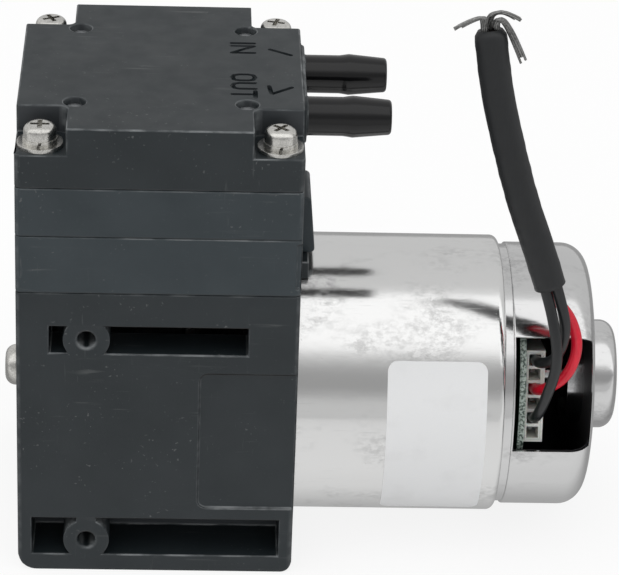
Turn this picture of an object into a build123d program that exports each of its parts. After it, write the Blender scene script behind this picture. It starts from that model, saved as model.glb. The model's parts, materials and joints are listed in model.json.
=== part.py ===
from build123d import *
import math
import os

# Miniature diaphragm vacuum pump with a brushless motor, in millimetres.
# Origin: centre of the crankcase's base. +Z up to the head, +X along the motor axis, -Y to the front.
# The motor turns an eccentric, a ball bearing on it lifts the connecting rod, and the rod pulls and
# pushes a rubber diaphragm. Two rubber flaps between the valve plate and the head cover let the air
# in through one hose barb and out through the other. The crank is drawn at bottom dead centre.

os.makedirs("parts", exist_ok=True)

# Clearances
press_gap = 0.02          # radial, between pieces pressed or screwed together
running_gap = 0.05        # radial, between pieces that turn on each other
free_gap = 0.3            # between pieces that pass each other
hole_gap = 0.15           # radial, round a screw that passes through

# Block stack
body_x = 35.0
body_y = 38.5
body_corner = 0.7
crankcase_h = 40.0
housing_h = 7.7
plate_h = 6.5
cover_h = 8.0
seam_housing = crankcase_h
seam_plate = seam_housing + housing_h
seam_cover = seam_plate + plate_h
top_z = seam_cover + cover_h
face_x = body_x / 2
front_y = -body_y / 2
base_edge_far = 2.4
base_edge_motor = 1.5

# Crank chamber
axis_z = 19.25
chamber_r = 13.5
end_wall = 3.2
chamber_x = face_x - end_wall
access_r = 2.9            # driver holes in the end wall, in line with the motor screws

# Side mounting bosses, on the front and the back
boss_x = -8.8
boss_low_z = 4.5
boss_high_z = 33.5
boss_r = 2.95
boss_hole_r = 1.05
boss_hole_depth = 5.0
boss_hole_chamfer = 0.3

# Upper slot and lower groove, on the front and the back
slot_from_x = -13.4
slot_to_x = 11.2
slot_h = 3.75
groove_end_wall = 1.8
groove_low_z = 2.4
groove_high_z = 7.7
groove_depth = 7.5
groove_neck_w = 2.6

# Shallow panel on the front and saddle over the motor can
panel_x = 5.3
panel_low_z = 9.5
panel_high_z = 28.9
panel_depth = 0.35
panel_corner = 1.0
saddle_w = 13.5
saddle_t = 1.4
lug_w = 8.2
lug_h = 7.8
lug_drop = 1.6            # below the housing's seam
lug_low_t = 2.2
lug_high_t = 1.5
lug_edge = 0.6
lug_low_z = seam_housing - lug_drop
key_w = 0.7               # step on the front corner of the diaphragm housing
key_rise = 1.0
key_h = 6.0
key_depth = 0.5

# Head screws and their washers
screw_inset_x = 3.0
screw_inset_y = 3.05
head_screw_r = 1.25
head_screw_len = 25.0
head_screw_head_r = 2.0
head_screw_head_h = 1.7
washer_r = 2.8
washer_t = 0.5
spring_washer_r = 2.1
spring_washer_t = 0.6
spring_washer_split = 0.35
screw_x = face_x - screw_inset_x
screw_y = body_y / 2 - screw_inset_y
screw_spots = [(sx * screw_x, sy * screw_y) for sx in (-1, 1) for sy in (-1, 1)]

# Head cover
notch_x = 6.2
notch_y = 6.7
notch_depth = 3.55
notch_corner = 1.0
notch_floor = top_z - notch_depth
cover_hole_x = 10.5
cover_hole_y = 11.3
cover_hole_r = 1.35
cover_hole_depth = 3.0

# Hose barbs and the pad they stand on
barb_y = 6.4
barb_drop = 3.6
barb_root_r = 2.42
barb_root_len = 4.9
barb_crest_r = 2.6
barb_crest_x = 6.1
barb_tip_r = 2.15
barb_len = 10.9
barb_tip_round = 0.45
barb_bore_r = 1.3
barb_z = top_z - barb_drop
pad_t = 0.4
pad_margin = 0.6
pad_corner = 2.0

# Valve sheet and flaps
sheet_x = 24.0
sheet_y = 27.0
sheet_t = 0.8
sheet_corner = 3.0
valve_x = -1.5
flap_r = 4.0
flap_t = 0.7
flap_neck_w = 4.0
flap_reach = 6.8          # from the hinge line to the flap's centre
flap_window_gap = 0.4
flap_open_deg = 7.0
port_r = 2.2
pit_hole_r = 1.0
pit_hole_ring = 2.4
hinge_x = valve_x - flap_reach
flap_lift = (flap_reach + flap_r) * math.sin(math.radians(flap_open_deg))
pit_depth = flap_lift + free_gap
sheet_floor = seam_cover - sheet_t

# Diaphragm and what clamps it
stroke = 3.5
crank_throw = stroke / 2
bore_r = 12.5
diaphragm_t = 1.0
diaphragm_rim_r = 15.0
diaphragm_bead_from = 13.8
diaphragm_bead_to = 14.6
diaphragm_bead_h = 0.5
diaphragm_disc_r = 9.0
clamp_r = 8.0
clamp_t = 1.2
clamp_edge = 0.35
chamber_gap = 0.35
mid_plane = seam_plate - diaphragm_t
rest_plane = mid_plane - crank_throw
clamp_base = rest_plane + diaphragm_t
roof_z = seam_plate + crank_throw + clamp_t + chamber_gap

# Ball bearings
crank_bearing = {"bore": 4.5, "outer": 8.5, "width": 5.0, "ball": 1.19, "count": 9}
motor_bearing = {"bore": 2.0, "outer": 6.5, "width": 5.0, "ball": 1.0, "count": 7}
race_gap = 0.03
cage_t = 1.1
cage_w = 3.2
ring_share = 0.26         # of the space between bore and outside, for each ring

# Connecting rod and eccentric
rod_w = 6.0
rod_eye_wall = 1.5
rod_shank_low = 11.0
rod_shank_high = 7.0
rod_pocket_depth = 1.4
rod_pocket_rim = 1.5
rod_flange_t = 1.2
rod_neck_r = 3.5
rod_neck_h = 3.5
clamp_screw_r = 1.5
clamp_screw_len = 8.0
clamp_screw_head_r = 2.8
crank_z = axis_z - crank_throw
pin_shoulder_r = 5.5
pin_shoulder_t = 0.9
hub_r = 6.2
weight_r = 11.0
weight_x = 4.1
weight_w = 6.7
hub_end_x = 12.0
set_screw_r = 1.5
set_screw_len = 4.0
shaft_r = motor_bearing["bore"] - press_gap
shaft_tip_x = 1.0

# Motor
can_r = 18.0
can_wall = 0.6
can_len = 26.4
can_rim = 0.9
flange_t = 2.4
pilot_r = 7.5
pilot_h = 2.6
pilot_lip = 0.6
pilot_hole_r = 4.2
motor_screw_pitch_r = 10.0
motor_screw_r = 1.5
motor_screw_head_r = 2.7
motor_screw_head_h = 1.9
cap_step = 0.87           # the cap is narrower than the can
cap_wall = 0.5
cap_len = 38.05
cap_corner = 3.2
cap_neck_step = 0.28      # its neck is narrower than the cap
cap_neck_len = 1.0
cap_flange_w = 1.8
rear_boss_h = 3.95
rear_boss_r = 7.1
rear_boss_corner = 1.8
rear_boss_round = 1.0     # inside
cap_flange_round = 0.4
window_from = -7.0        # degrees above the horizontal through the axis, on the front
window_to = 44.0
window_x = 27.63
motor_screw_y = [side * motor_screw_pitch_r for side in (-1, 1)]
can_end = face_x + can_len
cap_end = face_x + cap_len
boss_end = cap_end + rear_boss_h
cap_r = can_r - cap_step
cap_neck_r = cap_r - cap_neck_step

# Stator and rotor
stator_x = 6.5
stator_len = 14.0
stator_depth = 7.78       # radial, from its bore to the can
stator_yoke = 2.4
tooth_count = 6
tooth_w = 4.0
shoe_t = 1.2
shoe_w = 7.6
slot_paper = 0.4
coil_t = 2.1
coil_overhang = 2.7
insulator_t = 1.2
post_r = 1.1
air_gap = 0.5
magnet_t = 2.9
magnet_len = 15.0
magnet_poles = 4
magnet_split = 3.0        # degrees between neighbouring magnets
stator_r = can_r - can_wall - press_gap
stator_bore_r = stator_r - stator_depth

# Circuit board and connector
board_rim_gap = 0.95      # radial, between the board and the cap's neck
board_x = 28.35
board_t = 0.8
board_hole_r = 3.6
board_r = cap_neck_r - cap_wall - board_rim_gap
chip_w = 5.0
chip_t = 1.1
chip_y = 7.5
capacitor_r = 1.6
capacitor_h = 4.2
capacitor_y = 6.5
capacitor_z = 7.5
small_part_w = 1.4
small_part_len = 2.6
small_part_t = 0.7
small_part_y = -1.2
small_part_step = 3.0
small_part_edge = 2.9     # from the board's edge
connector_turn = 15.0     # degrees above the horizontal, from the front
connector_face = 12.5     # distance of its mouth from the motor axis
connector_depth = 6.5
connector_len = 12.0
connector_t = 2.6
connector_wall = 0.3
connector_back = 0.6
connector_pitch = 1.9
connector_ways = 6
pocket_w = 1.5
pocket_depth = 5.2
pin_w = 0.5
pin_len = 3.6
pin_gap = 0.1
crimp_w = 1.0
crimp_len = 3.0
crimp_end = 0.6
wired_ways = {"black_wire_a": 4, "red_wire": 2, "black_wire_b": 0}
wire_seat = 11.3          # distance of the wires' inner ends from the motor axis

# Lead
wire_r = 0.7
conductor_r = 0.4
sleeve_r = 2.0
sleeve_bore_r = 1.6
sleeve_route = [
    (48.5, -15.5, 40.3), (46.7, -15.2, 45.6), (44.5, -14.4, 51.2),
    (42.3, -12.9, 58.6), (40.4, -11.3, 66.0), (39.6, -10.1, 72.2),
]
sleeve_entry = (49.18, -15.84, 38.45)
sleeve_exit = (39.68, -10.21, 71.61)
wire_offsets = {
    "black_wire_a": (-0.70, -0.45, -0.10),
    "black_wire_b": (0.70, -0.37, 0.28),
    "red_wire": (0.0, 0.824, -0.177),
}
wire_exits = {"black_wire_a": 3.4, "black_wire_b": 3.2, "red_wire": 3.1}
wire_bends = {
    "black_wire_a": [(49.1, -17.3, 25.9), (49.9, -18.2, 30.6), (49.4, -17.8, 34.6)],
    "black_wire_b": [(50.0, -15.3, 29.4), (51.0, -16.3, 34.0)],
    "red_wire": [(51.4, -15.6, 26.9), (52.8, -15.3, 31.2), (51.8, -14.0, 34.9)],
}
strand_exit = 1.5
conductor_bends = {
    "black_wire_a": [(38.65, -10.6, 74.1), (37.0, -10.6, 73.5), (35.4, -10.6, 72.5)],
    "black_wire_b": [(40.8, -10.8, 74.1), (42.2, -10.9, 72.3), (44.0, -10.9, 68.1)],
    "red_wire": [(39.8, -9.2, 73.9), (41.5, -9.1, 74.2), (43.3, -9.1, 73.0)],
}

# Label on the can
label_from_x = 11.4
label_w = 12.6
label_low_deg = -47.5
label_high_deg = 33.0
label_t = 0.1
label_corner = 1.2

# Plug screw in the end wall
plug_r = 1.5
plug_head_r = 2.65
plug_head_h = 2.4
plug_len = 4.2


def block(x0, x1, y0, y1, z0, z1):
    """Box between two corners."""
    return Pos((x0 + x1) / 2, (y0 + y1) / 2, (z0 + z1) / 2) * Box(x1 - x0, y1 - y0, z1 - z0)


def upright(radius, z0, z1, x=0.0, y=0.0):
    """Cylinder along Z."""
    return Pos(x, y, (z0 + z1) / 2) * Cylinder(radius, z1 - z0)


def lying(radius, x0, x1, y=0.0, z=axis_z):
    """Cylinder along X."""
    return Pos((x0 + x1) / 2, y, z) * Rot(Y=90) * Cylinder(radius, x1 - x0)


def crosswise(radius, y0, y1, x, z):
    """Cylinder along Y."""
    return Pos(x, (y0 + y1) / 2, z) * Rot(X=90) * Cylinder(radius, abs(y1 - y0))


def outline(points):
    """Face through (u, v) points. A third number rounds that corner."""
    face = make_face(Polyline(*[(p[0], p[1]) for p in points], close=True))
    for point in points:
        if len(point) > 2:
            corner = face.vertices().sort_by_distance((point[0], point[1], 0))[0]
            face = fillet(corner, point[2])
    return face


def turned(points, y=0.0, z=axis_z, arc=360.0):
    """Revolved about an axis along X, from (x, radius) points."""
    return Pos(0, y, z) * revolve(outline(points), Axis.X, arc)


def spun(points):
    """Revolved about the Z axis, from (radius, z) points."""
    return revolve(Plane.XZ * outline(points), Axis.Z)


def sector(points, low_deg, high_deg):
    """Turned about the motor axis between two angles above the horizontal, on the front."""
    swept = revolve(outline(points), Axis.X, high_deg - low_deg)
    return Pos(0, 0, axis_z) * Rot(X=180 - high_deg) * swept


def layer(z0, z1):
    """One block of the stack, on the common footprint."""
    return Pos(0, 0, z0) * extrude(RectangleRounded(body_x, body_y, body_corner), z1 - z0)


def both_sides(solid):
    """A feature of the front with the same one on the back, turned half round about the Z axis."""
    return solid + Rot(Z=180) * solid


def screw_holes(z0, z1, radius):
    """The four head screw holes."""
    return [upright(radius, z0, z1, x, y) for x, y in screw_spots]


def cross_recess(size, depth):
    """Cross for a driver, cut down from Z = 0."""
    slot = Box(size, size * 0.24, depth * 2)
    return slot + Rot(Z=90) * slot


def pan_head(radius, height):
    """Domed screw head on Z = 0 with a cross recess."""
    rounding = height * 0.55
    head = spun([(0, 0), (radius, 0), (radius, height, rounding), (0, height)])
    return head - Pos(0, 0, height) * cross_recess(radius * 1.15, height * 0.55)


def pan_screw(radius, length, head_r, head_h):
    """Pan head screw, its head on Z = 0 and its shank below."""
    return pan_head(head_r, head_h) + upright(radius, -length, head_h * 0.2)


def pit_outline(grow):
    """Outline of a flap, or with grow, of the window round it, about the valve's centre."""
    neck = Pos(-flap_reach / 2, 0) * Rectangle(flap_reach + 2 * grow - 0.2, flap_neck_w + 2 * grow)
    return Circle(flap_r + grow) + neck


def flap_window(y, z0, z1):
    """Space in which a flap swings."""
    return Pos(valve_x, y, z0) * extrude(pit_outline(flap_window_gap), z1 - z0)


# Crankcase -------------------------------------------------------------------------------------


def crank_chamber():
    """U-shaped chamber, round about the motor axis and open to the top."""
    profile = Circle(chamber_r) + Pos(0, crankcase_h / 2) * Rectangle(2 * chamber_r, crankcase_h)
    chamber = extrude(Plane.YZ * profile, chamber_x, both=True)
    return Pos(0, 0, axis_z) * chamber & block(-face_x, face_x, front_y, -front_y, 0, crankcase_h + 1)


def side_cutouts():
    """Upper slot and lower groove of the front, each interrupted by a mounting boss."""
    slot_low_z = boss_high_z - slot_h / 2
    slot = block(slot_from_x, slot_to_x, front_y - 1, -chamber_r / 2, slot_low_z, slot_low_z + slot_h)
    slot -= crosswise(boss_r, front_y - 1, 0, boss_x, boss_high_z)
    groove_x = face_x - groove_end_wall
    groove = block(-groove_x, groove_x, front_y - 1, front_y + groove_depth, groove_low_z, groove_high_z)
    groove -= crosswise(boss_r, front_y - 1, 0, boss_x, boss_low_z)
    neck_x = boss_x - groove_neck_w / 2
    groove -= block(neck_x, neck_x + groove_neck_w, front_y - 1, 0, boss_low_z, crankcase_h)
    return slot, groove


def boss_holes():
    """Pilot holes in the mounting bosses of the front."""
    holes = []
    for z in (boss_low_z, boss_high_z):
        holes.append(crosswise(boss_hole_r, front_y, front_y + boss_hole_depth, boss_x, z))
        mouth = Cone(boss_hole_r, boss_hole_r + boss_hole_chamfer, boss_hole_chamfer)
        holes.append(Pos(boss_x, front_y + boss_hole_chamfer / 2, z) * Rot(X=90) * mouth)
    return holes


def crankcase():
    side = outline([
        (-face_x, 0, base_edge_far), (face_x, 0, base_edge_motor),
        (face_x, crankcase_h), (-face_x, crankcase_h),
    ])
    body = layer(0, crankcase_h) & extrude(Plane.XZ * side, body_y, both=True)
    body -= crank_chamber()
    for cutout in side_cutouts():
        body -= both_sides(cutout)
    for hole in boss_holes():
        body -= both_sides(hole)
    panel_end = face_x + 1
    panel = outline([
        (panel_x, panel_low_z, panel_corner), (panel_end, panel_low_z),
        (panel_end, panel_high_z), (panel_x, panel_high_z, panel_corner),
    ])
    body -= Pos(0, front_y + panel_depth, 0) * extrude(Plane.XZ * panel, panel_depth + 1)
    body += saddle()
    body -= lying(pilot_r + press_gap, chamber_x - 1, face_x + 1)
    body -= lying(plug_r + press_gap, -face_x - 1, -chamber_x + 1)
    for y in motor_screw_y:
        body -= lying(motor_screw_r + hole_gap, chamber_x - 1, face_x + 1, y)
        body -= lying(access_r, -face_x - 1, -chamber_x + 1, y)
    screw_floor = notch_floor + washer_t + spring_washer_t - head_screw_len - free_gap
    for hole in screw_holes(screw_floor, crankcase_h + 1, head_screw_r + press_gap):
        body -= hole
    return body


def saddle():
    """Pad above the motor can, its underside following the can."""
    pad = block(face_x - 0.1, face_x + saddle_t, -saddle_w / 2, saddle_w / 2, axis_z, lug_low_z)
    return pad - lying(can_r + running_gap, face_x - 1, face_x + saddle_t + 1)


# Head --------------------------------------------------------------------------------------------


def diaphragm_housing():
    body = layer(seam_housing, seam_plate)
    body -= upright(bore_r, seam_housing - 1, seam_plate + 1)
    body -= upright(diaphragm_rim_r + press_gap, mid_plane, seam_plate + 1)
    bead = spun([
        (diaphragm_bead_from - press_gap, mid_plane - diaphragm_bead_h - press_gap),
        (diaphragm_bead_to + press_gap, mid_plane - diaphragm_bead_h - press_gap),
        (diaphragm_bead_to + press_gap, mid_plane + 0.1),
        (diaphragm_bead_from - press_gap, mid_plane + 0.1),
    ])
    body -= bead
    key_z = seam_housing + key_rise
    body -= block(face_x - key_w, face_x + 1, front_y - 1, front_y + key_depth, key_z, key_z + key_h)
    for hole in screw_holes(seam_housing - 1, seam_plate + 1, head_screw_r + hole_gap):
        body -= hole
    return body + lug()


def lug():
    """Wedge on the motor side of the diaphragm housing, thicker below."""
    side = outline([
        (face_x - 0.1, seam_housing), (face_x, seam_housing), (face_x, lug_low_z),
        (face_x + lug_low_t, lug_low_z, lug_edge), (face_x + lug_high_t, lug_low_z + lug_h, lug_edge),
        (face_x - 0.1, lug_low_z + lug_h),
    ])
    return Pos(0, lug_w / 2, 0) * extrude(Plane.XZ * side, lug_w)


def valve_recess(z0, z1, grow):
    """Rounded rectangle of the valve sheet."""
    face = RectangleRounded(sheet_x + 2 * grow, sheet_y + 2 * grow, sheet_corner + grow)
    return Pos(0, 0, z0) * extrude(face, z1 - z0)


def valve_plate():
    body = layer(seam_plate, seam_cover)
    body -= upright(bore_r, seam_plate - 1, roof_z)
    body -= valve_recess(sheet_floor, seam_cover + 1, press_gap)
    body -= flap_window(barb_y, sheet_floor - pit_depth, sheet_floor)
    for place in PolarLocations(pit_hole_ring, 4):
        body -= Pos(valve_x, barb_y, 0) * place * upright(pit_hole_r, roof_z - 1, sheet_floor)
    body -= upright(port_r, roof_z - 1, seam_cover, valve_x, -barb_y)
    for hole in screw_holes(seam_plate - 1, seam_cover + 1, head_screw_r + hole_gap):
        body -= hole
    return body


def valve_sheet():
    body = valve_recess(sheet_floor, seam_cover, 0)
    for y in (-barb_y, barb_y):
        body -= flap_window(y, sheet_floor - 1, seam_cover + 1)
    return body


def flap(y):
    gap = (sheet_t - flap_t) / 2
    return Pos(valve_x, y, sheet_floor + gap) * extrude(pit_outline(0), flap_t)


def notches():
    """Corner steps for the screw heads."""
    cuts = []
    for sx in (-1, 1):
        for sy in (-1, 1):
            inner_x = sx * (face_x - notch_x)
            inner_y = sy * (body_y / 2 - notch_y)
            corner = outline([
                (inner_x, inner_y, notch_corner), (sx * (face_x + 1), inner_y),
                (sx * (face_x + 1), sy * (body_y / 2 + 1)), (inner_x, sy * (body_y / 2 + 1)),
            ])
            cuts.append(Pos(0, 0, notch_floor) * extrude(corner, notch_depth + 1))
    return cuts


def barb(y):
    """Hose barb without its bore."""
    return turned([
        (face_x - 1, 0), (face_x - 1, barb_root_r), (face_x + barb_root_len, barb_root_r),
        (face_x + barb_crest_x, barb_crest_r), (face_x + barb_len, barb_tip_r, barb_tip_round),
        (face_x + barb_len, 0),
    ], y, barb_z)


def port_pad():
    """Raised pad that carries both barbs."""
    pad_w = 2 * (barb_y + barb_root_r + pad_margin)
    pad_low = barb_z - barb_root_r - pad_margin
    pad_high = top_z - 0.3
    face = RectangleRounded(pad_w, pad_high - pad_low, pad_corner)
    pad = extrude(Plane.YZ * face, pad_t + 1)
    return Pos(face_x - 1, 0, (pad_low + pad_high) / 2) * pad


def head_cover():
    body = layer(seam_cover, top_z)
    for cut in notches():
        body -= cut
    body += port_pad()
    for y in (-barb_y, barb_y):
        body += barb(y)
        body -= lying(barb_bore_r, valve_x, face_x + barb_len + 1, y, barb_z)
        body -= upright(port_r, seam_cover - 1, barb_z + barb_bore_r, valve_x, y)
    body -= flap_window(-barb_y, seam_cover - 1, seam_cover + pit_depth)
    for sx in (-1, 1):
        for sy in (-1, 1):
            hole = spun([
                (0, top_z - cover_hole_depth), (cover_hole_r, top_z - cover_hole_depth + 0.7),
                (cover_hole_r, top_z + 1), (0, top_z + 1),
            ])
            body -= Pos(sx * cover_hole_x, sy * cover_hole_y, 0) * hole
    for hole in screw_holes(seam_cover - 1, top_z + 1, head_screw_r + hole_gap):
        body -= hole
    return body


def flat_washers():
    ring = upright(washer_r, 0, washer_t) - upright(head_screw_r + hole_gap, -1, washer_t + 1)
    return [Pos(x, y, notch_floor) * ring for x, y in screw_spots]


def spring_washers():
    """Split spring washers, the splits to the front."""
    ring = upright(spring_washer_r, 0, spring_washer_t)
    ring -= upright(head_screw_r + hole_gap, -1, spring_washer_t + 1)
    ring -= Pos(0, -spring_washer_r, spring_washer_t / 2) * Rot(Y=20) * Box(
        spring_washer_split, 2 * spring_washer_r - 0.5, 4 * spring_washer_t)
    return [Pos(x, y, notch_floor + washer_t) * ring for x, y in screw_spots]


def head_screws():
    screw = pan_screw(head_screw_r, head_screw_len, head_screw_head_r, head_screw_head_h)
    seat = notch_floor + washer_t + spring_washer_t
    return [Pos(x, y, seat) * Rot(Z=25 * i) * screw for i, (x, y) in enumerate(screw_spots)]


# Diaphragm and rod -------------------------------------------------------------------------------


def diaphragm():
    """Rubber disc with a clamped rim and bead and a rolling web, drawn at the bottom of its stroke."""
    bend = (bore_r - diaphragm_disc_r) * 0.55
    top = [(diaphragm_disc_r, clamp_base), (diaphragm_disc_r + bend, clamp_base),
           (bore_r - bend, seam_plate), (bore_r, seam_plate)]
    low = [(u, v - diaphragm_t) for u, v in reversed(top)]
    hole_r = clamp_screw_r + hole_gap
    upper = Bezier(*top)
    lower = Bezier(*low)
    rim = Polyline(
        (bore_r, seam_plate), (diaphragm_rim_r, seam_plate), (diaphragm_rim_r, mid_plane),
        (diaphragm_bead_to, mid_plane), (diaphragm_bead_to, mid_plane - diaphragm_bead_h),
        (diaphragm_bead_from, mid_plane - diaphragm_bead_h), (diaphragm_bead_from, mid_plane),
        (bore_r, mid_plane))
    disc = Polyline(
        (diaphragm_disc_r, rest_plane), (hole_r, rest_plane), (hole_r, clamp_base),
        (diaphragm_disc_r, clamp_base))
    face = make_face([upper, rim, lower, disc])
    return revolve(Plane.XZ * face, Axis.Z)


def clamp_disc():
    sink = clamp_screw_head_r - clamp_screw_r
    hole_r = clamp_screw_r + hole_gap
    top = clamp_base + clamp_t
    return spun([
        (hole_r, clamp_base), (clamp_r, clamp_base), (clamp_r, top, clamp_edge),
        (clamp_screw_head_r + hole_gap, top), (hole_r, top - min(sink, clamp_t * 0.9)),
    ])


def clamp_screw():
    top = clamp_base + clamp_t
    sink = min(clamp_screw_head_r - clamp_screw_r, clamp_t * 0.9)
    screw = spun([
        (0, top), (clamp_screw_head_r, top), (clamp_screw_r, top - sink),
        (clamp_screw_r, top - clamp_screw_len), (0, top - clamp_screw_len),
    ])
    return screw - Pos(0, 0, top) * cross_recess(clamp_screw_head_r, sink * 0.8)


def connecting_rod():
    """Rod with a bearing eye, a tapered shank pocketed on both faces and a round flange on top."""
    eye_r = crank_bearing["outer"] + rod_eye_wall
    flange_z = rest_plane - rod_flange_t
    neck_z = flange_z - rod_neck_h
    shank = make_face(Polyline(
        (-rod_shank_low / 2, crank_z), (rod_shank_low / 2, crank_z),
        (rod_shank_high / 2, neck_z), (-rod_shank_high / 2, neck_z), close=True))
    body = extrude(Plane.YZ * (shank + Pos(0, crank_z) * Circle(eye_r)), rod_w / 2, both=True)
    low_z = crank_z + eye_r + rod_pocket_rim
    share = (low_z - crank_z) / (neck_z - crank_z)
    low_w = rod_shank_low + (rod_shank_high - rod_shank_low) * share - 2 * rod_pocket_rim
    high_w = rod_shank_high - 2 * rod_pocket_rim
    high_z = neck_z - rod_pocket_rim
    pocket = make_face(Polyline(
        (-low_w / 2, low_z), (low_w / 2, low_z), (high_w / 2, high_z), (-high_w / 2, high_z), close=True))
    pocket = fillet(pocket.vertices(), high_w * 0.2)
    for x in (-rod_w / 2, rod_w / 2 - rod_pocket_depth):
        body -= Pos(x, 0, 0) * extrude(Plane.YZ * pocket, rod_pocket_depth)
    body += spun([
        (0, neck_z - rod_neck_r), (rod_w / 2 - 0.2, neck_z - rod_neck_r), (rod_neck_r, neck_z),
        (rod_neck_r, flange_z, 0.8), (clamp_r, flange_z), (clamp_r, rest_plane), (0, rest_plane),
    ])
    body -= lying(crank_bearing["outer"] + press_gap, -rod_w, rod_w, 0, crank_z)
    tip = clamp_base + clamp_t - clamp_screw_len - free_gap
    return body - upright(clamp_screw_r + press_gap, tip, rest_plane + 1)


def ball_bearing(size, x, z):
    """Inner ring, outer ring, balls and cage of a bearing centred at x on an axis along X."""
    low_x = x - size["width"] / 2
    high_x = x + size["width"] / 2
    ball_r = size["ball"]
    space = size["outer"] - size["bore"]
    pitch_r = (size["outer"] + size["bore"]) / 2
    inner_r = size["bore"] + ring_share * space
    outer_r = size["outer"] - ring_share * space
    inner = lying(inner_r, low_x, high_x, 0, z) - lying(size["bore"], low_x - 1, high_x + 1, 0, z)
    outer = lying(size["outer"], low_x, high_x, 0, z) - lying(outer_r, low_x - 1, high_x + 1, 0, z)
    race = Pos(x, 0, z) * Rot(Y=90) * Torus(pitch_r, ball_r + race_gap)
    balls = []
    cage = lying(pitch_r + cage_t / 2, x - cage_w / 2, x + cage_w / 2, 0, z)
    cage -= lying(pitch_r - cage_t / 2, x - cage_w, x + cage_w, 0, z)
    for i in range(size["count"]):
        place = Pos(x, 0, z) * Rot(X=360 / size["count"] * i)
        balls.append(place * Pos(0, 0, pitch_r) * Sphere(ball_r))
        cage -= place * upright(ball_r + running_gap, pitch_r - cage_t, pitch_r + cage_t)
    return inner - race, outer - race, balls, cage


def eccentric():
    """Crank pin, shoulder, hub and counterweight in one piece, the pin hanging below the axis."""
    half = crank_bearing["width"] / 2
    body = lying(crank_bearing["bore"] - press_gap, -half, half, 0, crank_z)
    body += lying(pin_shoulder_r, half, half + pin_shoulder_t, 0, crank_z)
    body += lying(hub_r, half + pin_shoulder_t, hub_end_x)
    half_disc = Circle(weight_r) & Pos(0, weight_r) * Rectangle(2 * weight_r, 2 * weight_r)
    weight = Pos(weight_x, 0, axis_z) * extrude(Plane.YZ * half_disc, weight_w)
    rims = weight.edges().filter_by(GeomType.CIRCLE)
    body += chamfer(rims, 0.5)
    body -= lying(shaft_r + press_gap, shaft_tip_x - 0.5, hub_end_x + 1)
    set_x = weight_x + weight_w / 2
    return body - upright(set_screw_r + press_gap, axis_z - hub_r - 1, axis_z, set_x, 0)


def set_screw():
    top = axis_z - shaft_r - press_gap
    set_x = weight_x + weight_w / 2
    screw = upright(set_screw_r, top - set_screw_len, top, set_x, 0)
    socket = Pos(set_x, 0, top - set_screw_len) * extrude(RegularPolygon(0.75, 6), 1.2)
    return screw - socket


def plug_screw():
    """Pan head screw that closes the hole in the end wall on the motor axis."""
    screw = pan_screw(plug_r, plug_len, plug_head_r, plug_head_h)
    return Pos(-face_x, 0, axis_z) * Rot(Y=-90) * screw


# Motor -------------------------------------------------------------------------------------------


def motor_can():
    inner = can_r - can_wall
    lip_r = cap_neck_r + 0.1
    return turned([
        (face_x, inner), (face_x, can_r), (can_end, can_r, can_rim), (can_end, lip_r),
        (can_end - can_wall, lip_r), (can_end - can_wall, inner, can_rim - can_wall),
    ])


def front_flange():
    """Front plate of the motor with the pilot that centres it and holds the front bearing."""
    rim_r = can_r - can_wall - press_gap
    seat_r = motor_bearing["outer"] + press_gap
    pilot_x = face_x - pilot_h
    body = turned([
        (pilot_x, pilot_hole_r), (pilot_x, pilot_r, 0.3), (face_x, pilot_r), (face_x, rim_r),
        (face_x + flange_t, rim_r), (face_x + flange_t, seat_r), (pilot_x + pilot_lip, seat_r),
        (pilot_x + pilot_lip, pilot_hole_r),
    ])
    for y in motor_screw_y:
        body -= lying(motor_screw_r + press_gap, face_x - 1, face_x + flange_t + 1, y)
    return body


def motor_screws():
    length = end_wall + flange_t
    screw = Rot(Y=-90) * pan_screw(motor_screw_r, length, motor_screw_head_r, motor_screw_head_h)
    return [Pos(chamber_x, y, axis_z) * screw for y in motor_screw_y]


def end_cap():
    """Drawn cup with a bearing boss, held by the can's rolled rim, with a window for the connector."""
    neck_bore = cap_neck_r - cap_wall
    step_x = can_end + cap_neck_len
    flange_x = can_end - can_wall - press_gap
    flange_r = can_r - can_wall - press_gap
    cup_bore = cap_r - cap_wall
    boss_bore = motor_bearing["outer"] + press_gap
    body = turned([
        (flange_x - cap_flange_w, neck_bore), (flange_x - cap_flange_w, flange_r),
        (flange_x, flange_r, cap_flange_round), (flange_x, cap_neck_r),
        (step_x, cap_neck_r), (step_x, cap_r, 0.2), (cap_end, cap_r, cap_corner),
        (cap_end, rear_boss_r, 0.5), (boss_end, rear_boss_r, rear_boss_corner), (boss_end, 0),
        (boss_end - cap_wall, 0), (boss_end - cap_wall, boss_bore, rear_boss_round),
        (cap_end - cap_wall, boss_bore), (cap_end - cap_wall, cup_bore, cap_corner - cap_wall),
        (step_x + cap_wall, cup_bore), (step_x + cap_wall, neck_bore),
    ])
    window = [
        (face_x + window_x, cap_r - 2 * cap_corner), (cap_end - cap_wall, cap_r - 2 * cap_corner),
        (cap_end - cap_wall, cap_r + 1), (face_x + window_x, cap_r + 1),
    ]
    return body - sector(window, window_from, window_to)


def tooth_places():
    """One turn about the motor axis for each tooth, the first pointing up."""
    return [Pos(0, 0, axis_z) * Rot(X=360 / tooth_count * i) for i in range(tooth_count)]


def stator_span():
    start = face_x + stator_x
    return start, start + stator_len


def stator_core():
    """Lamination stack: a yoke with inward teeth that end in shoes."""
    x0, x1 = stator_span()
    ring = Circle(stator_r) - Circle(stator_r - stator_yoke)
    shoes = Circle(stator_bore_r + shoe_t) - Circle(stator_bore_r)
    for i in range(tooth_count):
        place = Rot(Z=360 / tooth_count * i)
        tooth_len = stator_r - stator_yoke / 2 - stator_bore_r - 0.3
        ring += place * Pos(0, stator_bore_r + 0.3 + tooth_len / 2) * Rectangle(tooth_w, tooth_len)
        ring += shoes & place * Pos(0, stator_bore_r) * Rectangle(shoe_w, 2 * stator_bore_r)
    ring -= Circle(stator_bore_r)
    return Pos(x0, 0, axis_z) * extrude(Plane.YZ * ring, x1 - x0)


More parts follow.
